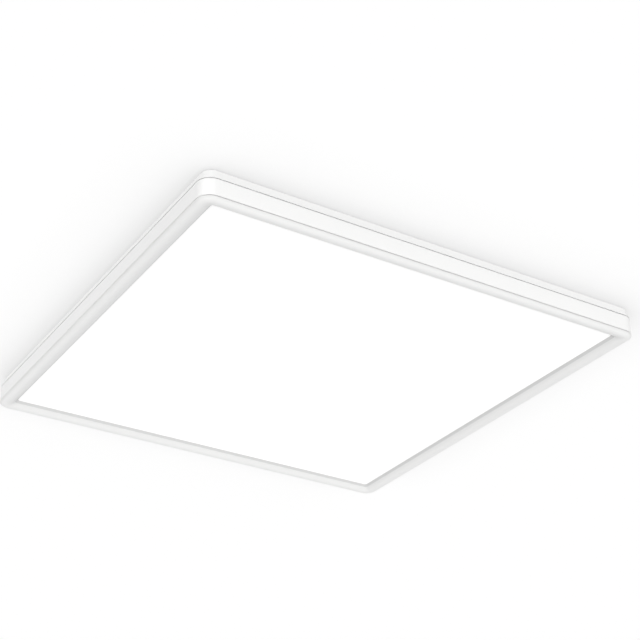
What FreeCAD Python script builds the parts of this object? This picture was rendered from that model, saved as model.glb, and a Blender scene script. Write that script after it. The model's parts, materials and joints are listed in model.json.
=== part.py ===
import FreeCAD, Part
import math
import os

# Square flush mount ceiling light, edge lit, hung on a screwed-up bracket by two leaf clips.
# Millimetres. +Z is up, the ceiling is z = 0 and the lamp hangs below it. The origin is the middle
# of the bracket's top face. The lit edges are the two that face -X (left) and +X (right).

# ---- outside form -------------------------------------------------------------------------------
side = 420.0                  # square outline
corner_radius = 12.0
housing_height = 9.8          # ceiling to upper joint line
band_height = 15.2            # upper to lower joint line
bezel_drop = 3.0              # lower joint line to the bezel's crest
shoulder_lean = 3.6           # housing's side leans inwards by this much up to the ceiling
shoulder_radius = 2.0         # rounding where it meets the ceiling
joint_gap = 0.7               # height of the shadow groove at each joint line
joint_depth = 0.9             # depth of that groove

# ---- front bezel --------------------------------------------------------------------------------
bezel_edge_radius = 2.6       # outer rounding below the lower joint line
crest_inset = 4.6             # where the inner slope starts
border_width = 15.2           # outline to the visible edge of the diffuser
window_radius = 2.4           # corner of the lit window
window_recess = 1.9           # diffuser's face above the lower joint line
reveal_width = 2.4            # steep inner band beside the diffuser, in plan
reveal_height = 2.0           # the same band's rise
crest_round = 2.5             # rounding of the crest's inner side
lip_width = 6.2               # land that the diffuser rests on
upstand_thickness = 1.6       # wall that locates the bezel in the side frame
upstand_height = 5.8          # above the lower groove
gusset_thickness = 1.2
gusset_count = 4              # on each side
gusset_drop = 0.3             # below the diffuser land
hook_reach = 0.8              # snap hook beyond the upstand
hook_height = 2.2
hook_lead = 1.5               # hook's top down to its tip
hook_length = 14.0
hook_spacing = 110.0
hook_count = 3                # on each side

# ---- side frame ---------------------------------------------------------------------------------
frame_wall = 2.4
web_reach = 8.0               # inner edge of the web, from the outline
web_thickness = 2.0
fit_gap = 0.3                 # between parts that drop into each other
rest_gap = 0.1                # between parts that all but touch

# ---- light stack, from the diffuser upwards -----------------------------------------------------
diffuser_thickness = 1.5
film_thickness = 0.25
guide_thickness = 3.0
reflector_thickness = 0.25
foam_thickness = 1.5
foam_inset = 22.0
back_thickness = 0.6
sheet_end = 3.0               # ends of the thin sheets, inside the diffuser's edge
guide_gap = 0.3               # light guide to LEDs

# ---- lit edges ----------------------------------------------------------------------------------
rail_end = 30.0               # outline to each end of the rails
rail_thickness = 1.2
rail_foot_thickness = 1.4
rail_foot_width = 15.0
board_tail = 1.0              # board's end beyond its plug
board_thickness = 1.0
board_height = 3.2
chip_pitch = 12.0
chip_length = 4.0
chip_height = 2.4
chip_thickness = 0.7
plug_length = 6.0             # along the lit edge
plug_width = 7.4              # from the board inwards
plug_height = 1.2
plug_gap = 3.0                # plug beyond the rail's end

# ---- rear housing -------------------------------------------------------------------------------
housing_wall = 2.2
rim_width = 14.0              # outline to the recessed panel
panel_recess = 2.0            # panel's face below the ceiling
panel_thickness = 2.0
skirt_thickness = 1.6
bridge_height = 2.7           # joint face up to the top of the bridge that carries the skirt
hollow_chamfer = 4.0
well_end_gap = 10.8           # bracket's leg to the end of the well
well_half_y = 26.0
well_depth = 11.5             # ceiling to the well's floor
well_wall = 2.0
well_corner = 6.0
panel_corner = 4.0
boss_radius = 4.0
boss_inset = 16.5             # screw bosses from the outline
boss_pitch = 150.0
boss_count = 3                # on each of two sides
counterbore_radius = 3.3
counterbore_depth = 2.2
foot_end = 20.0               # screwed feet below the well's floor, from the well's end
foot_side = 7.0               # and from its side
rib_height = 1.4
rib_thickness = 1.8
rib_inset = 34.0              # ribs that run along Y, from the outline
rib_y = 104.0                 # ribs that run along X
vent_count = 12
vent_pitch = 8.0
vent_width = 2.6
vent_length = 26.0

# ---- terminal box -------------------------------------------------------------------------------
box_y = 55.0                  # centre of the box
box_half_x = 36.0
box_half_y = 21.5
box_wall = 1.5
box_floor = 1.5
box_corner = 2.0
lid_thickness = 1.6
lid_gap = 0.3                 # lid above the box's wall
hinge_lift = 0.4              # hinge axis above the lid's lower face
barrel_radius = 1.3
pin_radius = 1.0
pin_play = 0.05
ear_radius = 1.9
ear_width = 4.0
ear_x = 24.0                  # inner face of each hinge ear
tab_x = 19.0                  # centre of each locating tab
tab_width = 10.0
tab_thickness = 1.0
tab_drop = 3.0
box_screw_gap = 1.0           # screw head to the box's wall
block_offset = 2.0            # terminal block behind the box's centre
block_half_x = 12.0
block_half_y = 7.0
block_height = 8.7
block_corner = 1.0
block_groove_width = 1.2      # groove between its poles
block_groove_depth = 1.2
pole_x = 5.5                  # each pole's offset from the middle
entry_radius = 1.3
entry_depth = 9.0
entry_height = 2.7            # above the block's foot
button_width = 4.0
button_length = 5.0
button_offset = 2.5           # buttons behind the block's centre
button_proud = 1.2
button_depth = 3.0            # in the block
button_travel = 1.2
button_play = 0.2

# ---- cable entry --------------------------------------------------------------------------------
grommet_half_x = 5.5
grommet_bore = 3.0
grommet_height = 7.1
grommet_flange = 1.5          # beyond the notch, and its thickness
flange_drop = 1.0             # inner flange below the sleeve
notch_play = 0.1
clamp_offset = 10.0           # clamp behind the box's front face
clamp_post_x = 9.0
clamp_post_radius = 3.0
clamp_post_height = 5.0
clamp_half_x = 13.0
clamp_half_y = 3.5
clamp_thickness = 2.0
clamp_corner = 1.5
clamp_groove = 4.0            # radius of the groove for the cable
clamp_post_floor = 0.5        # blind end of the screw hole
clamp_screw_spare = 1.0       # screw's end above that floor

# ---- driver -------------------------------------------------------------------------------------
driver_offset = 1.0           # driver's centre behind the terminal box's
driver_half_x = 55.0
driver_half_y = 21.0
driver_height = 11.0          # with its lid
driver_wall = 1.4
driver_corner = 3.0
driver_ear_offset = 11.0      # ears in front of the driver's centre
driver_ear_radius = 4.5
driver_ear_reach = 4.5        # screw centre beyond the case's end
pcb_thickness = 1.6
pcb_lift = 1.0
pcb_play = 0.6                # board's edge to the driver's wall
driver_vents = 7
driver_vent_pitch = 12.0
driver_rest_pitch = 24.0      # between the two ribs that carry the board
# parts on the driver's board: middle from the driver's centre, half sizes, height
transformer = 4.0, 5.0, 10.0, 7.0, 4.6
mains_terminal = 44.0, 10.0, 3.5, 5.0, 3.0
line_filter = 29.0, 9.0, 6.0, 5.0, 4.4
choke = -20.0, -9.0, 6.0, 4.5, 4.0
output_terminal = -45.0, -10.0, 3.0, 5.0, 2.6
control_chip = -2.0, -12.0, 5.0, 3.0, 1.2
# lying capacitors: start from the driver's centre, radius, length
input_capacitor = 20.0, -10.0, 2.2, 16.0
output_capacitor = -30.0, 9.0, 2.2, 14.0

# ---- wires --------------------------------------------------------------------------------------
mains_wire_radius = 1.0
mains_bend = 4.0
mains_run_gap = 4.6           # terminal block to the first run
mains_run_pitch = 3.0         # between the two runs
mains_seat = 2.0              # wire's end inside the terminal block
wire_flat_count = 6           # drawn in place of a round section
led_lead_width = 2.8          # flat twin lead
led_lead_thickness = 1.2
led_lead_lift = 2.0           # its middle above the back plate
led_exit_inset = 15.0         # right-hand lead leaves the driver this far from its end
led_route_gap = 13.9          # its run beyond the terminal lid's hinge
led_drop_inset = 12.0         # where each lead goes down to its plug, from the outline
led_run_inset = 24.0          # each lead's long run, from the outline
lead_entry = 0.4              # lead's end beyond the driver's wall
led_bend = 8.0
drop_bend = 2.0
clip_width = 7.0
clip_length = 4.0
clip_height = 3.4
clip_play = 0.15
side_clip_count = 2           # on each lead's long run
rear_clip_count = 3           # past the terminal box

# ---- bracket, clips and catches -----------------------------------------------------------------
bracket_half_x = 93.2         # outer face of each leg
bracket_width = 32.0
bracket_thickness = 1.2
bracket_bend = 2.0
leg_depth = 9.6               # ceiling to the leg's end
leg_width = 18.0
leg_relief = 6.0              # length of the notch beside each leg
slot_spacing = 120.0
slot_length = 14.0
slot_width = 5.2
cable_hole_radius = 10.0
bead_y = 11.5                 # stiffening beads pressed into the strip
bead_length = 70.0
bead_radius = 1.6
spring_width = 14.0
spring_thickness = 0.5
spring_bend = 0.6
spring_turn = 0.8             # spring's turn below and outside the leg
nose_reach = 6.4              # spring's outermost point, beyond the leg
nose_depth = 7.0              # and its distance from the ceiling
tip_reach = 2.2               # spring's free end, beyond the leg
tip_depth = 2.9
catch_width = 18.0
catch_thickness = 0.8
catch_bend = 0.9
catch_depth = 4.3             # ceiling to the lip's lower face
catch_leg = 6.0
catch_gap = 0.3               # lip to spring
catch_rivet_depth = 7.4

# ---- fasteners ----------------------------------------------------------------------------------
screw_radius = 1.45
screw_head_radius = 2.7
screw_head_height = 1.6
small_screw_radius = 1.0
small_head_radius = 2.0
small_head_height = 1.2
rivet_radius = 1.2
rivet_head_radius = 2.2
rivet_head_height = 0.7
hole_play = 0.05
screw_point = 0.8             # housing screw's end below the back plate
rail_screw_inset = 16.0
rail_screw_pitch = 240.0
rail_screw_count = 2          # on each rail

# ---- drawing ------------------------------------------------------------------------------------
flat_count = 8                # flats of a fastener, a small hole or a pin
corner_flat_count = 3         # flats of a hidden or small rounded corner
overlap = 0.5                 # how far fused pieces run into each other
cut_past = 1.0                # how far a cutter runs past the face that it cuts
tolerance = 1e-4

# ---- levels and places worked out from the sizes ------------------------------------------------
half_side = side / 2
upper_line = -housing_height
lower_line = upper_line - band_height
crest = lower_line - bezel_drop
housing_foot = upper_line + joint_gap / 2
band_top = upper_line - joint_gap / 2
band_bottom = lower_line + joint_gap / 2
bezel_top = lower_line - joint_gap / 2

seat = lower_line + window_recess
diffuser_top = seat + diffuser_thickness
film_top = diffuser_top + film_thickness
guide_top = film_top + guide_thickness
reflector_top = guide_top + reflector_thickness
back_under = reflector_top + foam_thickness
back_top = back_under + back_thickness
web_top = back_top + web_thickness

nest_inset = frame_wall + fit_gap                      # outer face of skirt and upstand
upstand_inner = nest_inset + upstand_thickness
upstand_top = bezel_top + upstand_height
stack_inset = upstand_inner + fit_gap * 2              # edge of diffuser, rails and sheets
board_face = stack_inset + rail_thickness              # rail's face that carries the board
chip_face = board_face + board_thickness
guide_inset = chip_face + chip_thickness + guide_gap
guide_middle = film_top + guide_thickness / 2
rail_under = diffuser_top + rest_gap
rail_foot_under = back_under - rail_foot_thickness
plate_inset = frame_wall + fit_gap * 2
rail_reach = half_side - rail_end
plug_y = rail_reach + plug_gap + plug_length / 2
board_reach = plug_y + plug_length / 2 + board_tail
skirt_inner = nest_inset + skirt_thickness
bridge_top = housing_foot + bridge_height

panel_top = -panel_recess
panel_under = panel_top - panel_thickness
well_half_x = bracket_half_x + well_end_gap
well_floor = -well_depth
well_under = well_floor - well_wall
foot_x = well_half_x - foot_end
foot_y = well_half_y - foot_side
boss_y = half_side - boss_inset

lid_top = panel_top
lid_under = lid_top - lid_thickness
box_top = lid_under - lid_gap
box_inside = back_top + box_floor
box_front = box_y - box_half_y
box_rear = box_y + box_half_y
hinge_y = box_rear + lid_gap + barrel_radius
hinge_z = lid_under + hinge_lift
block_y = box_y + block_offset
block_rear = block_y + block_half_y
block_top = box_inside + block_height
button_y = block_y + button_offset
entry_z = box_inside + entry_height
grommet_top = box_top
grommet_under = grommet_top - grommet_height
grommet_z = grommet_top - grommet_height / 2
clamp_y = box_front + clamp_offset
clamp_under = box_inside + clamp_post_height

led_run_x = half_side - led_run_inset
led_drop_x = half_side - led_drop_inset
driver_x = -(box_half_x + led_run_x) / 2
driver_y = box_y + driver_offset
driver_ear_y = driver_y - driver_ear_offset
driver_top = back_top + driver_height
driver_left = driver_x - driver_half_x
driver_right = driver_x + driver_half_x
led_exit_x = driver_right - led_exit_inset
led_route_y = hinge_y + led_route_gap
led_lead_z = back_top + led_lead_lift
sheet_half_x = half_side - guide_inset
sheet_half_y = half_side - stack_inset - sheet_end
plug_top = back_under - rest_gap
nose_x = bracket_half_x + nose_reach
tip_x = bracket_half_x + tip_reach
spring_rivet_z = -(tip_depth + leg_depth) / 2


def vector(x, y, z):
    return FreeCAD.Vector(x, y, z)


# ---- basic shapes -------------------------------------------------------------------------------
def corner_arcs(half_x, half_y, radius, level, steps, x=0.0, y=0.0):
    """Points on the four quarter arcs of a rounded rectangle, counter-clockwise."""
    arcs = []
    for turn, (side_x, side_y) in enumerate(((1, 1), (-1, 1), (-1, -1), (1, -1))):
        centre = vector(x + side_x * (half_x - radius), y + side_y * (half_y - radius), level)
        points = []
        for step in range(steps + 1):
            angle = math.radians(90 * (turn + step / steps))
            points.append(centre + vector(math.cos(angle), math.sin(angle), 0) * radius)
        arcs.append(points)
    return arcs


def outer_outline(inset, radius, level):
    """Square with true arcs at its corners, for the faces that show."""
    reach = half_side - inset
    arcs = corner_arcs(reach, reach, radius, level, 2)
    edges = []
    for arc, following in zip(arcs, arcs[1:] + arcs[:1]):
        edges.append(Part.Arc(*arc).toShape())
        edges.append(Part.LineSegment(arc[2], following[0]).toShape())
    return Part.Wire(edges)


def outer_plate(inset, low, high):
    """Plate that follows the lamp's outline, with true arcs at its corners."""
    outline = outer_outline(inset, corner_radius - inset, low)
    return Part.Face(outline).extrude(vector(0, 0, high - low))


def plate(half_x, half_y, radius, low, high, x=0.0, y=0.0):
    """Upright plate whose rounded corners have a few flats each."""
    points = sum(corner_arcs(half_x, half_y, radius, low, corner_flat_count, x, y), [])
    return Part.Face(Part.makePolygon(points + points[:1])).extrude(vector(0, 0, high - low))


def square_plate(inset, radius, low, high):
    return plate(half_side - inset, half_side - inset, radius, low, high)


def square_ring(outer_inset, inner_inset, low, high):
    """Hidden frame that follows the lamp's outline between two insets."""
    outer = square_plate(outer_inset, corner_radius - outer_inset, low, high)
    return outer.cut(square_plate(inner_inset, corner_radius - inner_inset, low, high))


def taper(inset_low, radius_low, low, inset_high, radius_high, high):
    """Solid between two rounded squares at two levels."""
    lower = outer_outline(inset_low, radius_low, low)
    upper = outer_outline(inset_high, radius_high, high)
    return Part.makeLoft([lower, upper], True, True)


def block(x_low, x_high, y_low, y_high, z_low, z_high):
    return Part.makeBox(x_high - x_low, y_high - y_low, z_high - z_low, vector(x_low, y_low, z_low))


def rod(radius, x, y, low, high):
    return Part.makeCylinder(radius, high - low, vector(x, y, low))


def flatted(radius, start, along):
    """Prism of a regular polygon about the line from start, drawn light in place of a small cylinder."""
    return Part.Face(ring_of_flats(radius, start, along, flat_count)).extrude(along)


def ring_of_flats(radius, centre, normal, count):
    corners = Part.makeCircle(radius, centre, normal).discretize(Number=count + 1)
    return Part.makePolygon(corners[:-1] + corners[:1])


def stud(radius, x, y, low, high):
    return flatted(radius, vector(x, y, low), vector(0, 0, high - low))


def stud_x(radius, x_low, x_high, y, z):
    return flatted(radius, vector(x_low, y, z), vector(x_high - x_low, 0, 0))


def rod_x(radius, x_low, x_high, y, z):
    return Part.makeCylinder(radius, x_high - x_low, vector(x_low, y, z), vector(1, 0, 0))


def stud_y(radius, x, y_low, y_high, z):
    return flatted(radius, vector(x, y_low, z), vector(0, y_high - y_low, 0))


def slot(x, y, length, width, low, high):
    """Upright prism of an obround that runs along X."""
    reach = (length - width) / 2
    body = block(x - reach, x + reach, y - width / 2, y + width / 2, low, high)
    return body.fuse([rod(width / 2, x - reach, y, low, high), rod(width / 2, x + reach, y, low, high)])


def turned(shape, degrees):
    copy = shape.copy()
    copy.rotate(vector(0, 0, 0), vector(0, 0, 1), degrees)
    return copy


def mirrored_x(shape):
    return shape.mirror(vector(0, 0, 0), vector(1, 0, 0))


def spread(count, pitch):
    """Evenly spaced places about zero."""
    return [(index - (count - 1) / 2) * pitch for index in range(count)]


def edges_at(shape, level):
    """Edges that lie wholly at one level."""
    found = []
    for edge in shape.Edges:
        bounds = edge.BoundBox
        if abs(bounds.ZMin - level) < tolerance and abs(bounds.ZMax - level) < tolerance:
            found.append(edge)
    return found


def screw(x, y, under_head, length, radius, head_radius, head_height):
    """Pan head screw, point down: shank, and a head with a bevelled top."""
    shank = stud(radius, x, y, under_head - length, under_head + head_height / 2)
    head = stud(head_radius, x, y, under_head, under_head + head_height)
    head = head.makeChamfer(head_height / 3, edges_at(head, under_head + head_height))
    return head.fuse(shank).removeSplitter()


# ---- routes: straight runs joined by tangent arcs -----------------------------------------------
def route(points, bend):
    """Wire through the points, with every inner corner rounded to one radius."""
    edges = []
    start = points[0]
    for before, corner, after in zip(points, points[1:], points[2:]):
        inward = (before - corner).normalize()
        onward = (after - corner).normalize()
        half_angle = inward.getAngle(onward) / 2
        setback = bend / math.tan(half_angle)
        middle = (inward + onward).normalize()
        arc_start = corner + inward * setback
        arc_end = corner + onward * setback
        arc_top = corner + middle * (bend / math.sin(half_angle) - bend)
        edges.append(Part.LineSegment(start, arc_start).toShape())
        edges.append(Part.Arc(arc_start, arc_top, arc_end).toShape())
        start = arc_end
    edges.append(Part.LineSegment(start, points[-1]).toShape())
    return Part.Wire(edges)


def wire_along(points, bend, radius):
    """Insulated wire along a route."""
    heading = (points[1] - points[0]).normalize()
    section = ring_of_flats(radius, points[0], heading, wire_flat_count)
    return route(points, bend).makePipeShell([section], True, True)


def bent_strip(points, bend, thickness, width):
    """Sheet strip of a section drawn in the XZ plane, its thickness laid to one side of the route."""
    path = route([vector(x, 0, z) for x, z in points], bend)
    lead = (vector(points[1][0], 0, points[1][1]) - vector(points[0][0], 0, points[0][1])).normalize()
    across = vector(-lead.z, 0, lead.x)
    start = vector(points[0][0], 0, points[0][1])
    section = Part.makePolygon([
        start + vector(0, -width / 2, 0),
        start + vector(0, width / 2, 0),
        start + vector(0, width / 2, 0) + across * thickness,
        start + vector(0, -width / 2, 0) + across * thickness,
        start + vector(0, -width / 2, 0),
    ])
    return path.makePipeShell([section], True, True)


# ---- front --------------------------------------------------------------------------------------
def bezel_window():
    """Everything that the bezel leaves open: the crest's inner slope, the steep reveal, the window."""
    reveal_inset = border_width - reveal_width
    reveal_low = seat - reveal_height
    reveal_radius = window_radius + reveal_width / 4
    slope = taper(crest_inset, corner_radius - crest_inset, crest, reveal_inset, reveal_radius, reveal_low)
    reveal = taper(reveal_inset, reveal_radius, reveal_low, border_width, window_radius, seat)
    return slope.fuse(reveal)


def snap_hook(along):
    """Wedge on the outer face of the -Y upstand."""
    face = -half_side + nest_inset
    root = face + upstand_thickness / 2
    points = [
        vector(along, root, upstand_top),
        vector(along, face, upstand_top),
        vector(along, face - hook_reach, upstand_top - hook_lead),
        vector(along, face, upstand_top - hook_height),
        vector(along, root, upstand_top - hook_height),
        vector(along, root, upstand_top),
    ]
    wedge = Part.Face(Part.makePolygon(points)).extrude(vector(hook_length, 0, 0))
    wedge.translate(vector(-hook_length / 2, 0, 0))
    return wedge


def front_bezel():
    body = outer_plate(0, crest, bezel_top)
    body = body.makeFillet(bezel_edge_radius, edges_at(body, crest))
    lip_outer = border_width - lip_width
    lip = square_plate(lip_outer, corner_radius - lip_outer, bezel_top, seat)
    upstand = square_ring(nest_inset, upstand_inner, bezel_top, upstand_top)
    extras = [lip, upstand]
    for quarter in range(4):
        for along in spread(hook_count, hook_spacing):
            extras.append(turned(snap_hook(along), 90 * quarter))
        for along in spread(gusset_count, side / (gusset_count + 1)):
            low = along - gusset_thickness / 2
            gusset = block(low, low + gusset_thickness, -half_side + upstand_inner,
                           -half_side + lip_outer, bezel_top, seat - gusset_drop)
            extras.append(turned(gusset, 90 * quarter))
    body = body.fuse(extras)
    body = body.cut(bezel_window()).removeSplitter()
    return body.makeFillet(crest_round, crest_edges(body))


def crest_edges(body):
    """Inner boundary of the bezel's lowest face."""
    limit = half_side - (bezel_edge_radius + crest_inset) / 2
    found = []
    for edge in edges_at(body, crest):
        middle = edge.valueAt((edge.FirstParameter + edge.LastParameter) / 2)
        if max(abs(middle.x), abs(middle.y)) < limit:
            found.append(edge)
    return found


def side_frame():
    hollow = square_plate(frame_wall, corner_radius - frame_wall, bezel_top, housing_foot)
    wall = outer_plate(0, band_bottom, band_top).cut(hollow)
    tongue = outer_plate(joint_depth, bezel_top, housing_foot).cut(hollow)
    web = square_ring(frame_wall / 2, web_reach, back_top, web_top)
    frame = wall.fuse([tongue, web])
    cuts = []
    pocket_low = upstand_top - hook_height - fit_gap
    for quarter in range(4):
        for along in spread(hook_count, hook_spacing):
            reach = hook_length / 2 + fit_gap
            pocket = block(along - reach, along + reach,
                           -half_side + nest_inset - hook_reach - fit_gap,
                           -half_side + frame_wall + fit_gap, pocket_low, upstand_top + fit_gap)
            cuts.append(turned(pocket, 90 * quarter))
    return frame.cut(cuts).removeSplitter()


# ---- light stack --------------------------------------------------------------------------------
def diffuser_plate():
    radius = corner_radius - upstand_inner
    return square_plate(stack_inset, radius - fit_gap, seat, diffuser_top)


def thin_sheet(low, high):
    return block(-sheet_half_x, sheet_half_x, -sheet_half_y, sheet_half_y, low, high)


def diffusing_film():
    return thin_sheet(diffuser_top, film_top)


def light_guide_plate():
    return thin_sheet(film_top, guide_top)


def reflector_sheet():
    return thin_sheet(guide_top, reflector_top)


def foam_pad():
    reach = half_side - foam_inset
    return block(-reach, reach, -reach, reach, reflector_top, back_under)


def back_plate():
    sheet = square_plate(plate_inset, corner_radius - plate_inset, back_under, back_top)
    cuts = []
    for x, y in rail_screw_places() + housing_screw_places() + well_screw_places():
        cuts.append(stud(screw_radius + hole_play, x, y, back_under, back_top))
    for x, y in driver_screw_places() + box_screw_places():
        cuts.append(stud(small_screw_radius + hole_play, x, y, back_under, back_top))
    for sign in (-1, 1):
        cuts.append(stud(led_lead_width, sign * led_drop_x, plug_y, back_under, back_top))
    return sheet.cut(cuts)


def heatsink_rail():
    """Angle on the left edge: a leg behind the board and a foot under the back plate."""
    outer = -half_side + stack_inset
    leg = block(outer, outer + rail_thickness, -rail_reach, rail_reach, rail_under, back_under)
    foot = block(outer, outer + rail_foot_width, -rail_reach, rail_reach, rail_foot_under, back_under)
    rail = leg.fuse(foot).removeSplitter()
    for x, y in rail_screw_places():
        if x < 0:
            rail = rail.cut(stud(screw_radius + hole_play, x, y, rail_foot_under, back_under))
    return rail


def led_board():
    outer = -half_side + board_face
    low = guide_middle - board_height / 2
    return block(outer, outer + board_thickness, -board_reach, board_reach, low, low + board_height)


def led_chips():
    outer = -half_side + chip_face
    low = guide_middle - chip_height / 2
    chip_count = int((2 * rail_reach - chip_length) / chip_pitch) + 1
    chips = []
    for y in spread(chip_count, chip_pitch):
        chips.append(block(outer, outer + chip_thickness, y - chip_length / 2, y + chip_length / 2,
                           low, low + chip_height))
    return Part.makeCompound(chips)


def led_plugs():
    low = plug_top - plug_height
    outer = -half_side + board_face
    plug = block(outer, outer + plug_width, plug_y - plug_length / 2, plug_y + plug_length / 2,
                 low, plug_top)
    return Part.makeCompound([plug, mirrored_x(plug)])


# ---- rear housing -------------------------------------------------------------------------------
def housing_shell():
    """Leaning side, rim against the ceiling, recessed panel, and the skirt that nests in the frame."""
    shell = taper(0, corner_radius, housing_foot, shoulder_lean, corner_radius - shoulder_lean, 0)
    shell = shell.makeFillet(shoulder_radius, edges_at(shell, 0))
    hollow = square_plate(housing_wall, corner_radius - housing_wall, housing_foot, panel_under)
    hollow = hollow.makeChamfer(hollow_chamfer, edges_at(hollow, panel_under))
    recess = square_plate(rim_width, panel_corner, panel_top, 0)
    skirt = square_ring(nest_inset, skirt_inner, web_top, bridge_top)
    bridge = square_ring(housing_wall - overlap, skirt_inner, housing_foot, bridge_top)
    return shell.cut([hollow, recess]).fuse([skirt, bridge])


def housing_ribs():
    """Low ribs on the recessed panel, two along each axis."""
    low = panel_top - panel_thickness / 2
    high = panel_top + rib_height
    reach = half_side - rim_width + overlap
    rib_x = half_side - rib_inset
    half = rib_thickness / 2
    ribs = []
    for sign in (-1, 1):
        ribs.append(block(-reach, reach, sign * rib_y - half, sign * rib_y + half, low, high))
        ribs.append(block(sign * rib_x - half, sign * rib_x + half, -reach, reach, low, high))
    return ribs


def well_outside():
    return plate(well_half_x + well_wall, well_half_y + well_wall, well_corner, well_under, panel_top)


def well_inside():
    return plate(well_half_x, well_half_y, well_corner - well_wall, well_floor, 0)


def rear_housing():
    housing = housing_shell().fuse(housing_ribs())
    lift = [well_outside()]
    cuts = [well_inside(), cable_notch(), box_window()]
    for x, y in housing_screw_places():
        lift.append(stud(boss_radius, x, y, back_top, panel_under + panel_thickness / 2))
        cuts.append(stud(screw_radius + hole_play, x, y, back_top, 0))
        cuts.append(stud(counterbore_radius, x, y, panel_top - counterbore_depth, 0))
    for x, y in well_screw_places():
        lift.append(stud(boss_radius, x, y, back_top, well_under + well_wall / 2))
        cuts.append(stud(screw_radius + hole_play, x, y, back_top, well_floor))
    for middle in (-well_half_x - well_wall / 2, well_half_x + well_wall / 2):
        cuts.append(stud_x(rivet_radius + hole_play, middle - well_wall, middle + well_wall, 0,
                           -catch_rivet_depth))
    cuts += vents(vent_count, vent_pitch, panel_under, panel_top)
    return housing.fuse(lift).cut(cuts).removeSplitter()


def vents(count, pitch, low, high):
    """Row of slots above the driver."""
    cuts = []
    for x in spread(count, pitch):
        middle = driver_x + x
        cuts.append(block(middle - vent_width / 2, middle + vent_width / 2,
                          driver_y - vent_length / 2, driver_y + vent_length / 2, low, high))
    return cuts


def cable_notch():
    reach = grommet_half_x + notch_play
    return block(-reach, reach, well_half_y - cut_past, box_front + fit_gap,
                 grommet_under - notch_play, 0)


def box_window():
    """Opening in the panel that clears the terminal box and its hinge."""
    low = box_front - fit_gap
    high = hinge_y + ear_radius + fit_gap
    reach = box_half_x + fit_gap
    return block(-reach, reach, low, high, panel_under, 0)


# ---- places of the screws -----------------------------------------------------------------------
def housing_screw_places():
    return [(x, sign * boss_y) for sign in (-1, 1) for x in spread(boss_count, boss_pitch)]


def well_screw_places():
    return [(x, y) for x in (-foot_x, foot_x) for y in (-foot_y, foot_y)]


def rail_screw_places():
    x = half_side - rail_screw_inset
    return [(sign * x, y) for sign in (-1, 1) for y in spread(rail_screw_count, rail_screw_pitch)]


def driver_screw_places():
    left = driver_left - driver_ear_reach
    right = driver_right + driver_ear_reach
    return [(left, driver_ear_y), (right, driver_ear_y)]


def box_screw_places():
    reach = box_half_x - box_wall - small_head_radius - box_screw_gap
    return [(-reach, box_y), (reach, box_y)]


def screws(places, under_head, length):
    made = []
    for x, y in places:
        made.append(screw(x, y, under_head, length, screw_radius, screw_head_radius, screw_head_height))
    return Part.makeCompound(made)


def small_screws(places, under_head, length):
    made = []
    for x, y in places:
        made.append(screw(x, y, under_head, length, small_screw_radius, small_head_radius,
                          small_head_height))
    return Part.makeCompound(made)


def housing_screws():
    under_head = panel_top - counterbore_depth
    return screws(housing_screw_places(), under_head, under_head - back_under + screw_point)


def well_screws():
    return screws(well_screw_places(), well_floor, well_floor - back_under)


def rail_screws():
    return screws(rail_screw_places(), back_top, back_thickness + rail_foot_thickness)


def driver_screws():
    return small_screws(driver_screw_places(), back_top + driver_wall, driver_wall + back_thickness)


def terminal_box_screws():
    return small_screws(box_screw_places(), box_inside, box_floor + back_thickness)


# ---- terminal box -------------------------------------------------------------------------------
def terminal_box():
    tray = plate(box_half_x, box_half_y, box_corner, back_top, box_top, 0, box_y)
    inside = plate(box_half_x - box_wall, box_half_y - box_wall, box_corner / 2, box_inside, box_top,
                   0, box_y)
    tray = tray.cut(inside)
    added = []
    for sign in (-1, 1):
        left = ear_x if sign > 0 else -ear_x - ear_width
        ear = stud_x(ear_radius, left, left + ear_width, hinge_y, hinge_z)
        arm = block(left, left + ear_width, box_rear - box_wall / 2, hinge_y,
                    hinge_z - ear_radius, hinge_z)
        added += [ear, arm]
        added.append(stud(clamp_post_radius, sign * clamp_post_x, clamp_y, box_inside - overlap,
                          clamp_under))
    cuts = []
    reach = grommet_half_x + notch_play
    cuts.append(block(-reach, reach, box_front - cut_past, box_front + box_wall + notch_play,
                      grommet_under - notch_play, 0))
    pin_hole = (pin_radius + pin_play) / math.cos(math.pi / flat_count)
    for sign in (-1, 1):
        middle = sign * (ear_x + ear_width / 2)
        cuts.append(stud_x(pin_hole, middle - ear_width, middle + ear_width, hinge_y, hinge_z))
        cuts.append(stud(small_screw_radius + hole_play, sign * clamp_post_x, clamp_y,
                         box_inside + clamp_post_floor, clamp_under))
    for x, y in box_screw_places():
        cuts.append(stud(small_screw_radius + hole_play, x, y, back_top, box_inside))
    for y in mains_route_y():
        cuts.append(stud_x(mains_wire_radius + fit_gap, -box_half_x - cut_past,
                           -box_half_x + box_wall + cut_past, y, entry_z))
    return tray.fuse(added).cut(cuts).removeSplitter()


def terminal_lid():
    front = box_front + fit_gap
    rear = hinge_y - ear_radius - 2 * fit_gap
    half_y = (rear - front) / 2
    cover = plate(box_half_x, half_y, box_corner, lid_under, lid_top, 0, (rear + front) / 2)
    inner = ear_x - fit_gap
    arm = block(-inner, inner, rear - box_corner, hinge_y, lid_under, lid_top)
    barrel = rod_x(barrel_radius, -inner, inner, hinge_y, hinge_z)
    pin_end = ear_x + ear_width - fit_gap
    pins = stud_x(pin_radius, -pin_end, pin_end, hinge_y, hinge_z)
    tabs = []
    tab_front = box_front + box_wall + fit_gap
    for sign in (-1, 1):
        tabs.append(block(sign * tab_x - tab_width / 2, sign * tab_x + tab_width / 2, tab_front,
                          tab_front + tab_thickness, lid_under - tab_drop, lid_under))
    grip = stud(grommet_half_x, 0, front - grommet_half_x / 2, lid_under, lid_top)
    return cover.fuse([arm, barrel, pins] + tabs).cut(grip).removeSplitter()


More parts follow.
